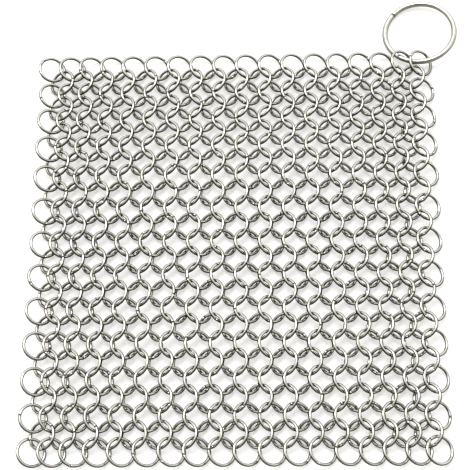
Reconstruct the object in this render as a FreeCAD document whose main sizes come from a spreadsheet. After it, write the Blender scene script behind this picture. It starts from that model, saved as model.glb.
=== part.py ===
# Chain mail pot scrubber: a square cloth of linked steel rings with a hanging ring at one corner.
# The cloth lies on the plane z = 0, with +X along the rows and +Y towards the hanging ring.
# The origin is under the middle of the whole, hanging ring included.
import FreeCAD, Part
import Sketcher
import math
import os

doc = FreeCAD.newDocument("chain_mail_scrubber")
sizes = doc.addObject("Spreadsheet::Sheet", "sizes")

# Driving sizes, in millimetres and degrees.
driving_sizes = {
    "ring_diameter": 13,        # outside of a small ring
    "wire_diameter": 1.4,       # wire of a small ring
    "link_span_share": 0.925,   # how far linked rings are drawn apart, of the ring's bore
    "weave_angle": 33.4,        # line between two linked rings, against the columns
    "ring_tilt": 26,            # lean of the rings: left side up in odd rows, right side up in even rows
    "wave_height": 1.2,         # the cloth lies in low waves, whose crests stand this high
    "corner_tilt": 33.2,        # lean of the two corner rings that the hanging ring lifts
    "corner_turn": 7.3,         # their lean is turned this far towards the near side
    "hang_diameter": 34,        # outside of the hanging ring
    "hang_wire": 2.4,           # wire of the hanging ring
    "hang_seam": 0.2,           # gap between the two butted wire ends
    "hang_seam_turn": 18.5,     # seam, turned from the hanging ring's lowest point
    "hang_lean": 7,             # slope of the hanging ring, whose lowest point rests on the table
    "hang_heading": 157,        # where that point lies, turned from +X
    "hang_shift": 0.35,         # hanging ring's centre, right of the outer corner ring's
    "hang_seat": 0.75,          # hanging ring's nearest wire, beyond the corner rings' centres
}

# Thirteen odd rows, with even rows between them that are one ring shorter.
odd_row_rings = 18
corner_labels = ["corner_ring_inner", "corner_ring_outer"]

# Rings crowd together at both ends of a row, and rows at the far and near edges of the cloth.
# Only the ring at the far left corner is drawn out beyond its column.
edge_pitch_shares = [0.80, 0.88, 0.93, 0.96]
corner_spread_share = 0.1
middle_pitch_shares = [1] * (odd_row_rings - 1 - 2 * len(edge_pitch_shares))
ring_pitch_shares = edge_pitch_shares + middle_pitch_shares + edge_pitch_shares[::-1]
far_row_shares = [0.90, 0.85, 0.85, 0.85, 0.90, 0.90, 0.93, 0.93]
middle_row_shares = [1] * 14
near_row_shares = [0.92, 0.92]
row_pitch_shares = far_row_shares + middle_row_shares + near_row_shares

# The rings of crowded rows sink flatter, each row's lean as a share of the ring tilt.
far_lean_shares = [0.94, 1, 0.92, 0.86, 0.86, 0.89, 0.92, 0.96]
near_lean_shares = [0.96, 0.93]
middle_lean_shares = [1] * (len(row_pitch_shares) + 1 - len(far_lean_shares) - len(near_lean_shares))
row_lean_shares = far_lean_shares + middle_lean_shares + near_lean_shares

# The waves touch the table at the far, middle and near rows. Each row's height is a share of a crest's.
cloth_waves = 2
last_step = len(row_pitch_shares)
wave_turns = [2 * math.pi * cloth_waves * step / last_step for step in range(last_step + 1)]
wave_shares = [round((1 - math.cos(wave_turn)) / 2, 4) for wave_turn in wave_turns]


# Places along a row or a column, counted in pitches from the middle of the cloth.
def places_from(shares):
    places = [-sum(shares) / 2]
    for share in shares:
        places.append(round(places[-1] + share, 4))
    return places


# Row 1 is the farthest. An even row's rings stand midway between those of the odd rows beside it.
odd_places = places_from(ring_pitch_shares)
even_places = [(left + right) / 2 for left, right in zip(odd_places, odd_places[1:])]
row_places = [-row_place for row_place in places_from(row_pitch_shares)]


# How steeply the wave climbs at a row towards the far side, in crests per row pitch.
def wave_slope(step):
    if step in (0, last_step):
        return 0
    climb = wave_shares[step - 1] - wave_shares[step + 1]
    return round(climb / (row_places[step - 1] - row_places[step + 1]), 4)


# Sizes worked out from the driving sizes.
derived_sizes = {
    "ring_radius": "(ring_diameter - wire_diameter) / 2",
    "link_span": "link_span_share * (ring_diameter - 2 * wire_diameter)",
    "ring_pitch": "2 * link_span * sin(weave_angle)",
    "row_pitch": "link_span * cos(weave_angle)",
    "corner_height": "ring_radius * sin(corner_tilt) + wire_diameter / 2",
    "hang_radius": "(hang_diameter - hang_wire) / 2",
    "hang_height": "hang_radius * sin(hang_lean) + hang_wire / 2",
    "seam_angle": "hang_seam / hang_radius * 180 / pi",
    "half_width": f"{odd_places[-1]} * ring_pitch",
    "half_depth": f"{row_places[0]} * row_pitch",
    "hang_reach_x": "hang_radius * sqrt(1 - (sin(hang_lean) * cos(hang_heading)) ^ 2) + hang_wire / 2",
    "hang_reach_y": "hang_radius * sqrt(1 - (sin(hang_lean) * sin(hang_heading)) ^ 2) + hang_wire / 2",
    "corner_spread": f"{corner_spread_share} * ring_pitch",
    "far_tilt": f"{row_lean_shares[0]} * ring_tilt",
    "left_reach": "half_width + corner_spread + ring_radius * cos(far_tilt) + wire_diameter / 2",
    "right_reach": "half_width + hang_shift + hang_reach_x",
    "near_reach": "half_depth + ring_diameter / 2",
    "far_reach": "half_depth + hang_seat + hang_radius + hang_reach_y",
    "cloth_x": "(left_reach - right_reach) / 2",
    "cloth_y": "(near_reach - far_reach) / 2",
}


def fill_sheet():
    cells = {name: str(value) for name, value in driving_sizes.items()}
    cells.update({name: "=" + formula for name, formula in derived_sizes.items()})
    for line, (name, text) in enumerate(cells.items(), start=1):
        sizes.set(f"A{line}", name)
        sizes.set(f"B{line}", text)
        sizes.setAlias(f"B{line}", name)
    doc.recompute()


# A wire ring about the body's Z axis, its section turned about one of the sketch's own axes.
def wire_ring(body, radius, wire, sweep, turn_axis, turn):
    planes = {feature.Role: feature for feature in body.Origin.OriginFeatures}
    section = body.newObject("Sketcher::SketchObject", body.Label + "_section")
    section.AttachmentSupport = [(planes["XZ_Plane"], "")]
    section.MapMode = "FlatFace"
    section.AttachmentOffset = FreeCAD.Placement(FreeCAD.Vector(), FreeCAD.Rotation(turn_axis, 1))
    section.setExpression("AttachmentOffset.Rotation.Angle", turn)
    start = FreeCAD.Vector(sizes.ring_radius, 0, 0)
    circle = section.addGeometry(Part.Circle(start, FreeCAD.Vector(0, 0, 1), sizes.wire_diameter / 2))
    centre = (circle, 3)
    root = (-1, 1)
    horizontal_axis = -1
    section.addConstraint(Sketcher.Constraint("PointOnObject", *centre, horizontal_axis))
    distance = section.addConstraint(Sketcher.Constraint("DistanceX", *root, *centre, sizes.ring_radius))
    section.renameConstraint(distance, "radius")
    across = section.addConstraint(Sketcher.Constraint("Diameter", circle, sizes.wire_diameter))
    section.renameConstraint(across, "wire")
    section.setExpression("Constraints.radius", radius)
    section.setExpression("Constraints.wire", wire)
    ring = body.newObject("PartDesign::Revolution", body.Label + "_wire")
    ring.Profile = section
    ring.ReferenceAxis = (section, ["V_Axis"])
    ring.setExpression("Angle", sweep)
    return ring


def new_body(label):
    body = doc.addObject("PartDesign::Body", label)
    body.Label = label
    body.AllowCompound = True
    return body


def place(body, x, y, z):
    body.setExpression("Placement.Base.x", x)
    body.setExpression("Placement.Base.y", y)
    body.setExpression("Placement.Base.z", z)


# A small ring of the cloth, leaning about Y.
def small_ring(body, tilt):
    across = FreeCAD.Vector(0, 0, 1)
    return wire_ring(body, "sizes.ring_radius", "sizes.wire_diameter", "360", across, tilt)


# A row is one ring repeated along X at the row's own spacings.
def ring_row(label, places, step, side):
    body = new_body(label)
    lean = row_lean_shares[step]
    ring = small_ring(body, f"{side * lean} * sizes.ring_tilt")
    axes = {feature.Role: feature for feature in body.Origin.OriginFeatures}
    row = body.newObject("PartDesign::LinearPattern", label + "_rings")
    row.Originals = [ring]
    row.Direction = (axes["X_Axis"], [""])
    row.Mode = "Spacing"
    row.Occurrences = len(places)
    gaps = [f"{right - left:.4f} * sizes.ring_pitch" for left, right in zip(places, places[1:])]
    row.setExpression("Spacings", "list(" + "; ".join(gaps) + ")")
    body.Tip = row
    place(body, f"sizes.cloth_x + {places[0]} * sizes.ring_pitch",
          f"sizes.cloth_y + {row_places[step]} * sizes.row_pitch",
          f"sizes.ring_radius * sin({lean} * sizes.ring_tilt) + sizes.wire_diameter / 2"
          f" + {wave_shares[step]} * sizes.wave_height")
    slope = f"{wave_slope(step)} * sizes.wave_height / sizes.row_pitch"
    body.setExpression("Placement.Rotation.Roll", f"atan({slope})")
    return body


def corner_ring(label, column_place):
    body = new_body(label)
    small_ring(body, "-sizes.corner_tilt")
    place(body, f"sizes.cloth_x + {column_place} * sizes.ring_pitch",
          f"sizes.cloth_y + {row_places[0]} * sizes.row_pitch", "sizes.corner_height")
    body.setExpression("Placement.Rotation.Yaw", "-sizes.corner_turn")
    return body


# One turn of thicker wire, open at the butt seam.
def hang_ring(label):
    body = new_body(label)
    upright = FreeCAD.Vector(0, 1, 0)
    wire_ring(body, "sizes.hang_radius", "sizes.hang_wire", "360 - sizes.seam_angle", upright,
              "-sizes.hang_seam_turn")
    place(body, "sizes.cloth_x + sizes.half_width + sizes.hang_shift",
          "sizes.cloth_y + sizes.half_depth + sizes.hang_seat + sizes.hang_radius", "sizes.hang_height")
    body.setExpression("Placement.Rotation.Yaw", "sizes.hang_heading")
    body.setExpression("Placement.Rotation.Pitch", "sizes.hang_lean")
    return body


# Each sub-part with the number of separate rings that it must hold.
def build():
    parts = {}
    for step in range(last_step + 1):
        odd = step % 2 == 0
        places = odd_places if odd else even_places
        if step == 0:
            places = [places[0] - corner_spread_share] + places[1:-len(corner_labels)]
        side = -1 if odd else 1
        parts[ring_row(f"ring_row_{step + 1:02d}", places, step, side)] = len(places)
    for label, column_place in zip(corner_labels, odd_places[-len(corner_labels):]):
        parts[corner_ring(label, column_place)] = 1
    parts[hang_ring("hang_ring")] = 1
    doc.recompute()
    return parts


def check(parts):
    for item in doc.Objects:
        if "Invalid" in item.State or "Error" in item.State:
            raise RuntimeError(f"{item.Label} failed: {item.State}")
    for body, count in parts.items():
        if body.Shape.isNull() or not body.Shape.isValid():
            raise RuntimeError(f"{body.Label} has no valid shape")
        if len(body.Shape.Solids) != count:
            raise RuntimeError(f"{body.Label} has {len(body.Shape.Solids)} solids, not {count}")


def export(parts):
    os.makedirs("parts", exist_ok=True)
    for body in parts:
        body.Shape.exportStep(os.path.join("parts", body.Label + ".step"))
    print(len(parts), "sub-parts,", sum(parts.values()), "rings")


fill_sheet()
scrubber = build()
check(scrubber)
export(scrubber)
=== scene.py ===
import bpy
import bmesh
import math
import random
from mathutils import Matrix, Vector


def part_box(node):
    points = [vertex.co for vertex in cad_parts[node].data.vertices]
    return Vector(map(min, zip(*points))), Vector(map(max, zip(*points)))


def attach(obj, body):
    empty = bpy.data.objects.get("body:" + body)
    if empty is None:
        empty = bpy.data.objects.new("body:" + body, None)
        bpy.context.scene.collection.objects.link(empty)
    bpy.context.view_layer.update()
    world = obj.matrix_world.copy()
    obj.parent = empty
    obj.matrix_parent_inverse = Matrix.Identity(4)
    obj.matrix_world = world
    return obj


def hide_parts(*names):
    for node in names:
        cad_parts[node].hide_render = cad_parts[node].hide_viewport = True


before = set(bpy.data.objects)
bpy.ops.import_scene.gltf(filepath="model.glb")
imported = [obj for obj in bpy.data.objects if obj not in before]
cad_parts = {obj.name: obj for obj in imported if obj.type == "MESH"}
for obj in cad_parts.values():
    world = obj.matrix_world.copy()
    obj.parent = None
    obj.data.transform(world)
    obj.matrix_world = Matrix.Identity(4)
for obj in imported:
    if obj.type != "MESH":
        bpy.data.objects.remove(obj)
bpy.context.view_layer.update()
scene = bpy.context.scene
scene.view_settings.view_transform = "Standard"


# shader helpers
def addNode(tree, kind, **settings):
    node = tree.nodes.new(kind)
    for key, value in settings.items():
        setattr(node, key, value)
    return node


def feed(tree, node, socket, source):
    if isinstance(source, bpy.types.NodeSocket):
        tree.links.new(source, node.inputs[socket])
    else:
        node.inputs[socket].default_value = source


def mathNode(tree, operation, first, second=0.0):
    node = addNode(tree, "ShaderNodeMath", operation=operation)
    feed(tree, node, 0, first)
    feed(tree, node, 1, second)
    return node.outputs[0]


def rangeNode(tree, value, fromLow, fromHigh, toLow, toHigh, step="LINEAR"):
    node = addNode(tree, "ShaderNodeMapRange", interpolation_type=step)
    for socket, source in enumerate((value, fromLow, fromHigh, toLow, toHigh)):
        feed(tree, node, socket, source)
    return node.outputs[0]


def noiseNode(tree, vector, stretch, detail):
    spread = addNode(tree, "ShaderNodeVectorMath", operation="MULTIPLY")
    feed(tree, spread, 0, vector)
    feed(tree, spread, 1, stretch)
    noise = addNode(tree, "ShaderNodeTexNoise")
    feed(tree, noise, "Vector", spread.outputs[0])
    feed(tree, noise, "Scale", 1.0)
    feed(tree, noise, "Detail", detail)
    return noise.outputs[0]


def mixColour(tree, share, first, second):
    node = addNode(tree, "ShaderNodeMix", data_type="RGBA")
    feed(tree, node, 0, share)
    feed(tree, node, 6, first)  # 6, 7 and output 2 are the node's colour sockets
    feed(tree, node, 7, second)
    return node.outputs[2]


# drawn wire: its crown above and below left plain steel and its flanks painted near-black as painted shade,
# die lines along it, dull patches, each ring a shade of its own, dark cut ends
wireFinish = {
    "inputs": {"Along": "Vector", "Facing": "Vector", "Shade": "Float", "To End": "Float",
               "Steel": "Color", "Dull": "Color", "Flank Painted Shade": "Color", "Cut": "Color",
               "Flank To": "Float", "Crown From": "Float", "Line Depth": "Float",
               "Smoothest": "Float", "Roughest": "Float"},
    "outputs": {"Colour": "Color", "Roughness": "Float", "Height": "Float"},
    "attributes": {"Along": ("alongWire", "Vector"), "Facing": ("facing", "Vector"),
                   "Shade": ("ringShade", "Fac"), "To End": ("toEnd", "Fac")},
    "lineStretch": (60, 3200, 3200), "lineDetail": 3.0, "lineBand": (0.35, 0.7),
    "patchStretch": (420, 420, 420), "patchDetail": 2.0, "patchBand": (0.5, 0.72), "patchDepth": 0.22,
    "shadeDepth": 0.14, "wearFull": 0.8, "endReach": 0.0002, "flankRough": 0.1,
}


def buildDrawnWire():
    group = bpy.data.node_groups.new("drawnWire", "ShaderNodeTree")
    for name, kind in wireFinish["inputs"].items():
        group.interface.new_socket(name, in_out="INPUT", socket_type="NodeSocket" + kind)
    for name, kind in wireFinish["outputs"].items():
        group.interface.new_socket(name, in_out="OUTPUT", socket_type="NodeSocket" + kind)
    given = addNode(group, "NodeGroupInput").outputs
    end = addNode(group, "NodeGroupOutput")

    lines = noiseNode(group, given["Along"], wireFinish["lineStretch"], wireFinish["lineDetail"])
    patches = noiseNode(group, given["Along"], wireFinish["patchStretch"], wireFinish["patchDetail"])
    lineMask = rangeNode(group, lines, *wireFinish["lineBand"], 0.0, 1.0)
    patchMask = rangeNode(group, patches, *wireFinish["patchBand"], 0.0, wireFinish["patchDepth"])
    wear = mathNode(group, "MULTIPLY", lineMask, given["Line Depth"])
    wear = mathNode(group, "ADD", wear, patchMask)
    shadeWear = mathNode(group, "MULTIPLY", given["Shade"], wireFinish["shadeDepth"])
    wear = mathNode(group, "ADD", wear, shadeWear)
    colour = mixColour(group, wear, given["Steel"], given["Dull"])
    rough = rangeNode(group, wear, 0.0, wireFinish["wearFull"], given["Smoothest"], given["Roughest"])

    faces = addNode(group, "ShaderNodeVectorMath", operation="NORMALIZE")
    feed(group, faces, 0, given["Facing"])
    split = addNode(group, "ShaderNodeSeparateXYZ")
    feed(group, split, 0, faces.outputs[0])
    upright = mathNode(group, "ABSOLUTE", split.outputs["X"])
    # painted shade: the wire's flanks, sideways from its crown, are mixed toward the near-black flank
    # colour, standing in for the dark reflections and contact shadow at a wire's sides
    flank = rangeNode(group, upright, given["Flank To"], given["Crown From"], 1.0, 0.0, "SMOOTHSTEP")
    colour = mixColour(group, flank, colour, given["Flank Painted Shade"])
    flankRough = mathNode(group, "MULTIPLY", flank, wireFinish["flankRough"])
    cut = rangeNode(group, given["To End"], 0.0, wireFinish["endReach"], 1.0, 0.0)
    feed(group, end, "Colour", mixColour(group, cut, colour, given["Cut"]))
    feed(group, end, "Roughness", mathNode(group, "ADD", rough, flankRough))
    feed(group, end, "Height", lines)
    return group


drawnWire = buildDrawnWire()


def wireMaterial(name, look):
    material = bpy.data.materials.new(name)
    material.use_nodes = True
    tree = material.node_tree
    shader = tree.nodes["Principled BSDF"]
    shader.inputs["Metallic"].default_value = 1.0
    shader.inputs["Specular Tint"].default_value = look["rim"]
    finish = addNode(tree, "ShaderNodeGroup", node_tree=drawnWire)
    for socket, (attribute, output) in wireFinish["attributes"].items():
        source = addNode(tree, "ShaderNodeAttribute", attribute_name=attribute)
        feed(tree, finish, socket, source.outputs[output])
    for socket, value in look["finish"].items():
        feed(tree, finish, socket, value)
    bump = addNode(tree, "ShaderNodeBump")
    feed(tree, bump, "Strength", look["bump"])
    feed(tree, bump, "Distance", look["bumpDepth"])
    feed(tree, bump, "Height", finish.outputs["Height"])
    feed(tree, shader, "Base Color", finish.outputs["Colour"])
    feed(tree, shader, "Roughness", finish.outputs["Roughness"])
    feed(tree, shader, "Normal", bump.outputs["Normal"])
    return material


# what the subdivision leaves of a circle's radius, by the angle between its points
def keptShare(angle):
    return (2 + math.cos(angle)) / 3


# one open turn of wire about Z, its two ends butted at the seam on +X
def turnWire(bm, wire):
    sides = wire["sides"]
    sweep = 2 * math.pi - wire["seam"] / wire["radius"]
    stepAngle = sweep / wire["steps"]
    cageRadius = wire["radius"] / keptShare(stepAngle)
    section = bmesh.ops.create_circle(bm, cap_ends=True, segments=sides,
                                      radius=wire["thick"] / 2 / keptShare(2 * math.pi / sides))
    bmesh.ops.rotate(bm, verts=section["verts"], matrix=Matrix.Rotation(math.pi / 2, 3, "X"))
    bmesh.ops.translate(bm, verts=section["verts"], vec=(cageRadius, 0, 0))
    bmesh.ops.rotate(bm, verts=section["verts"], matrix=Matrix.Rotation((2 * math.pi - sweep) / 2, 3, "Z"))
    startVerts = list(section["verts"])
    spun = bmesh.ops.spin(bm, geom=bm.verts[:] + bm.edges[:] + bm.faces[:], cent=(0, 0, 0), axis=(0, 0, 1),
                          angle=sweep, steps=wire["steps"], use_merge=False)
    endVerts = [item for item in spun["geom_last"] if isinstance(item, bmesh.types.BMVert)]
    for verts, side in ((startVerts, 1), (endVerts, -1)):
        middle = sum((vert.co for vert in verts), Vector()) / len(verts)
        inward = -middle.normalized() * (cageRadius - wire["radius"])
        bmesh.ops.translate(bm, verts=verts, vec=inward + Vector((0, 0, side * wire["slip"] / 2)))
    crease = bm.edges.layers.float.new("crease_edge")
    for verts in (startVerts, endVerts):
        for edge in set(edge for vert in verts for edge in vert.link_edges):
            if all(vert in verts for vert in edge.verts):
                edge[crease] = 1.0
    bmesh.ops.recalc_face_normals(bm, faces=bm.faces[:])
    along = bm.verts.layers.float_vector.new("alongWire")
    run = bm.verts.layers.float_vector.new("wireRun")
    toEnd = bm.verts.layers.float.new("toEnd")
    length = sweep * wire["radius"]
    for vert in bm.verts:
        turn = math.atan2(vert.co.y, vert.co.x) % (2 * math.pi)
        place = turn * wire["radius"]
        vert[along] = (place, math.hypot(vert.co.x, vert.co.y) - wire["radius"], vert.co.z)
        vert[run] = (-math.sin(turn), math.cos(turn), 0)
        vert[toEnd] = min(place, length - place)
    return along, run


def turnRun(verts, run, turn):
    for vert in verts:
        vert[run] = turn @ vert[run]


def finishWire(name, bm, material, levels):
    run = bm.verts.layers.float_vector["wireRun"]
    facing = bm.verts.layers.float_vector.new("facing")  # how far a point faces the crown and the flank
    bm.normal_update()
    for vert in bm.verts:
        crown = (Vector((0, 0, 1)) - vert[run] * vert[run].z).normalized()
        flank = vert[run].cross(crown)
        vert[facing] = (vert.normal.dot(crown), vert.normal.dot(flank), 0)
    bm.verts.layers.float_vector.remove(run)
    mesh = bpy.data.meshes.new(name)
    bm.to_mesh(mesh)
    bm.free()
    mesh.materials.append(material)
    mesh.shade_smooth()
    piece = bpy.data.objects.new(name, mesh)
    scene.collection.objects.link(piece)
    rounding = piece.modifiers.new("rounding", "SUBSURF")
    rounding.levels = levels
    rounding.render_levels = levels
    return piece


# small rings
ringWire = {"radius": 0.0058, "thick": 0.0014, "seam": 0.00006, "slip": 0.00006, "steps": 12, "sides": 4,
            "levels": 2}
ringLook = {
    "rim": (0.15, 0.15, 0.14, 1),
    "finish": {"Steel": (0.92, 0.905, 0.83, 1), "Dull": (0.42, 0.405, 0.355, 1),
               # the flank colour is painted shade on the wires' sides, not a colour of the steel
               "Flank Painted Shade": (0.045, 0.042, 0.034, 1), "Cut": (0.01, 0.0095, 0.008, 1),
               "Flank To": 0.73, "Crown From": 0.87, "Line Depth": 0.16,
               "Smoothest": 0.12, "Roughest": 0.4},
    "bump": 0.25, "bumpDepth": 0.00002,
}
cloth = {
    "rows": 25, "longRow": 18, "seed": 41,
    "plainRow": 2,  # a long row that nothing draws out, counted from 0
    "edgePitchShares": [0.80, 0.88, 0.93, 0.96],  # rings crowd at both ends of a row
    "cornerRings": ["corner_ring_inner", "corner_ring_outer"],
    "cornerTilt": 33.2, "cornerTurn": -7.3,
}
ringSteel = wireMaterial("ringSteel", ringLook)
ringDraw = random.Random(cloth["seed"])


# every ring of a piece is the same turn of wire, laid by its own matrix with its seam anywhere
def layRings(name, node, body, lays):
    bm = bmesh.new()
    along, run = turnWire(bm, ringWire)
    shade = bm.verts.layers.float.new("ringShade")
    master = bm.verts[:] + bm.edges[:] + bm.faces[:]
    for lay in lays:
        copied = bmesh.ops.duplicate(bm, geom=master)["geom"]
        verts = [item for item in copied if isinstance(item, bmesh.types.BMVert)]
        seamTurn = Matrix.Rotation(ringDraw.uniform(0, 2 * math.pi), 4, "Z")
        bmesh.ops.transform(bm, verts=verts, matrix=lay @ seamTurn)
        turnRun(verts, run, (lay @ seamTurn).to_3x3())
        ringShade = ringDraw.random()
        shift = Vector((ringDraw.random(), 0, 0))
        for vert in verts:
            vert[shade] = ringShade
            vert[along] = vert[along] + shift
    masterVerts = [item for item in master if isinstance(item, bmesh.types.BMVert)]
    bmesh.ops.delete(bm, geom=masterVerts, context="VERTS")
    piece = finishWire(name, bm, ringSteel, ringWire["levels"])
    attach(piece, body)
    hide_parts(node)


def stepsAlong(low, high, shares):
    total = sum(shares)
    places = [low]
    for share in shares:
        places.append(places[-1] + (high - low) * share / total)
    return places


# how far a ring's wire reaches to the side of its middle
def sideReach(tilt):
    return ringWire["radius"] * math.cos(tilt) + ringWire["thick"] / 2


edgeShares = cloth["edgePitchShares"]
pitchShares = edgeShares + [1] * (cloth["longRow"] - 1 - 2 * len(edgeShares)) + edgeShares[::-1]
rowBoxes = [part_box(f"ring_row_{row:02d}") for row in range(1, cloth["rows"] + 1)]
rowMiddles = [(low + high) / 2 for low, high in rowBoxes]
rowTilts = [math.asin((high.z - low.z - ringWire["thick"]) / 2 / ringWire["radius"])
            for low, high in rowBoxes]
longLow, longHigh = rowBoxes[cloth["plainRow"]]
longReach = sideReach(rowTilts[cloth["plainRow"]])
longPlaces = stepsAlong(longLow.x + longReach, longHigh.x - longReach, pitchShares)
shortPlaces = [(left + right) / 2 for left, right in zip(longPlaces, longPlaces[1:])]
# the far row has its left corner ring drawn out, and its last two rings are the corner rings
farPlaces = [rowBoxes[0][0].x + sideReach(rowTilts[0])] + longPlaces[1:-len(cloth["cornerRings"])]

for index in range(cloth["rows"]):
    isLong = index % 2 == 0
    places = longPlaces if isLong else shortPlaces
    if index == 0:
        places = farPlaces
    tilt = rowTilts[index] if isLong else -rowTilts[index]
    roll = 0.0  # a row inside the cloth follows the slope of its wave
    if 0 < index < cloth["rows"] - 1:
        climb = rowBoxes[index - 1][0].z - rowBoxes[index + 1][0].z
        roll = math.atan2(climb, rowMiddles[index - 1].y - rowMiddles[index + 1].y)
    lean = Matrix.Rotation(roll, 4, "X") @ Matrix.Rotation(tilt, 4, "Y")
    middle = rowMiddles[index]
    lays = [Matrix.Translation((place, middle.y, middle.z)) @ lean for place in places]
    layRings(f"ringRow{index + 1:02d}", f"ring_row_{index + 1:02d}", f"row_{index + 1:02d}", lays)
print("rows laid:", cloth["rows"])

cornerLean = (Matrix.Rotation(math.radians(cloth["cornerTurn"]), 4, "Z")
              @ Matrix.Rotation(math.radians(cloth["cornerTilt"]), 4, "Y"))
for node in cloth["cornerRings"]:
    low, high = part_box(node)
    pieceName = "cornerRing" + node.split("_")[-1].capitalize()
    layRings(pieceName, node, "row_01", [Matrix.Translation((low + high) / 2) @ cornerLean])
print("corner rings laid:", len(cloth["cornerRings"]))


# hanging ring
hangWire = {"radius": 0.0158, "thick": 0.0024, "seam": 0.0002, "slip": 0.0001, "steps": 32, "sides": 8,
            "levels": 2, "lean": 7, "heading": 157, "seamTurn": -18.5}
hangLook = {
    "rim": (0.4, 0.4, 0.37, 1),
    "finish": {"Steel": (0.84, 0.825, 0.765, 1), "Dull": (0.5, 0.48, 0.43, 1),
               # the flank colour is a lighter painted shade on the ring wire's sides, not a colour of the
               # steel
               "Flank Painted Shade": (0.2, 0.19, 0.16, 1), "Cut": (0.03, 0.028, 0.024, 1),
               "Flank To": 0.5, "Crown From": 0.88, "Line Depth": 0.2,
               "Smoothest": 0.16, "Roughest": 0.45},
    "bump": 0.3, "bumpDepth": 0.00003,
}
hangSteel = wireMaterial("hangSteel", hangLook)


def layHangRing():
    bm = bmesh.new()
    run = turnWire(bm, hangWire)[1]
    low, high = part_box("hang_ring")
    lay = (Matrix.Translation((low + high) / 2) @ Matrix.Rotation(math.radians(hangWire["heading"]), 4, "Z")
           @ Matrix.Rotation(math.radians(hangWire["lean"]), 4, "Y")
           @ Matrix.Rotation(math.radians(hangWire["seamTurn"]), 4, "Z"))
    bmesh.ops.transform(bm, verts=bm.verts[:], matrix=lay)
    turnRun(bm.verts, run, lay.to_3x3())
    piece = finishWire("hangRing", bm, hangSteel, hangWire["levels"])
    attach(piece, "hanger")
    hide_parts("hang_ring")


layHangRing()
print("hanging ring laid")

# floor
floorLook = {"size": 40.0, "drop": 0.00005, "colour": (0.95, 0.95, 0.95, 1), "rough": 0.9,
             "glow": 0.39, "glowColour": (1, 1, 1, 1)}


def layFloor():
    bm = bmesh.new()
    bmesh.ops.create_grid(bm, x_segments=1, y_segments=1, size=floorLook["size"])
    bmesh.ops.translate(bm, verts=bm.verts[:], vec=(0, 0, -floorLook["drop"]))
    mesh = bpy.data.meshes.new("floor")
    bm.to_mesh(mesh)
    bm.free()
    paper = bpy.data.materials.new("whitePaper")
    paper.use_nodes = True
    tree = paper.node_tree
    shader = tree.nodes["Principled BSDF"]
    shader.inputs["Base Color"].default_value = floorLook["colour"]
    shader.inputs["Roughness"].default_value = floorLook["rough"]
    shader.inputs["Specular IOR Level"].default_value = 0.0
    shader.inputs["Emission Color"].default_value = floorLook["glowColour"]
    # the paper is burnt out to white, also where the steel mirrors it
    ray = addNode(tree, "ShaderNodeLightPath")
    seen = mathNode(tree, "MAXIMUM", ray.outputs["Is Camera Ray"], ray.outputs["Is Glossy Ray"])
    seen = mathNode(tree, "MAXIMUM", seen, ray.outputs["Is Transmission Ray"])
    feed(tree, shader, "Emission Strength", mathNode(tree, "MULTIPLY", seen, floorLook["glow"]))
    mesh.materials.append(paper)
    floor = bpy.data.objects.new("floor", mesh)
    scene.collection.objects.link(floor)


layFloor()

# light: a wide soft lamp high behind on the left, under a bright sky that is dark high up on the near side
light = {"strength": 1.2, "softness": 30, "height": 67, "from": 112, "sky": 0.88, "nearSky": 0.08,
         "darkTo": -0.36, "brightFrom": -0.13, "lowTo": 0.35, "highFrom": 0.6, "tint": (1, 0.99, 0.955, 1)}


def hangLight():
    lamp = bpy.data.lights.new("softLamp", "SUN")
    lamp.energy = light["strength"]
    lamp.angle = math.radians(light["softness"])
    lampObject = bpy.data.objects.new("softLamp", lamp)
    aim = Matrix.Rotation(math.radians(light["from"]) + math.pi / 2, 4, "Z")
    lampObject.matrix_world = aim @ Matrix.Rotation(math.pi / 2 - math.radians(light["height"]), 4, "X")
    scene.collection.objects.link(lampObject)
    world = bpy.data.worlds.new("studio")
    world.use_nodes = True
    scene.world = world
    tree = world.node_tree
    back = tree.nodes["Background"]
    where = addNode(tree, "ShaderNodeTexCoord")
    split = addNode(tree, "ShaderNodeSeparateXYZ")
    feed(tree, split, 0, where.outputs["Generated"])
    near = rangeNode(tree, split.outputs["Y"], light["darkTo"], light["brightFrom"], 1.0, 0.0)
    high = rangeNode(tree, split.outputs["Z"], light["lowTo"], light["highFrom"], 0.0, 1.0)
    dark = mathNode(tree, "MULTIPLY", near, high)
    feed(tree, back, "Strength", rangeNode(tree, dark, 0.0, 1.0, light["sky"], light["nearSky"]))
    feed(tree, back, "Color", light["tint"])


hangLight()

# camera, turned as the photograph was taken: down by pitch, to the side by yaw, and tipped by roll
view = {"lens": 114.9, "pitch": 66.25, "yaw": -5.9, "roll": -6.1, "away": 0.6568,
        "target": (-0.00546, -0.00575, 0), "clipStart": 0.01}


def setCamera():
    pitch, yaw, roll = (math.radians(view[key]) for key in ("pitch", "yaw", "roll"))
    ahead = Vector((math.sin(yaw) * math.cos(pitch), math.cos(yaw) * math.cos(pitch), -math.sin(pitch)))
    right = Vector((math.cos(yaw), -math.sin(yaw), 0))
    up = right.cross(ahead)
    turnedRight = right * math.cos(roll) + up * math.sin(roll)
    turnedUp = up * math.cos(roll) - right * math.sin(roll)
    facing = Matrix((turnedRight, turnedUp, -ahead)).transposed().to_4x4()
    lens = bpy.data.cameras.new("camera")
    lens.lens = view["lens"]
    lens.clip_start = view["clipStart"]
    camera = bpy.data.objects.new("camera", lens)
    camera.matrix_world = Matrix.Translation(Vector(view["target"]) - ahead * view["away"]) @ facing
    scene.collection.objects.link(camera)
    scene.camera = camera


setCamera()
print("floor, light and camera set")
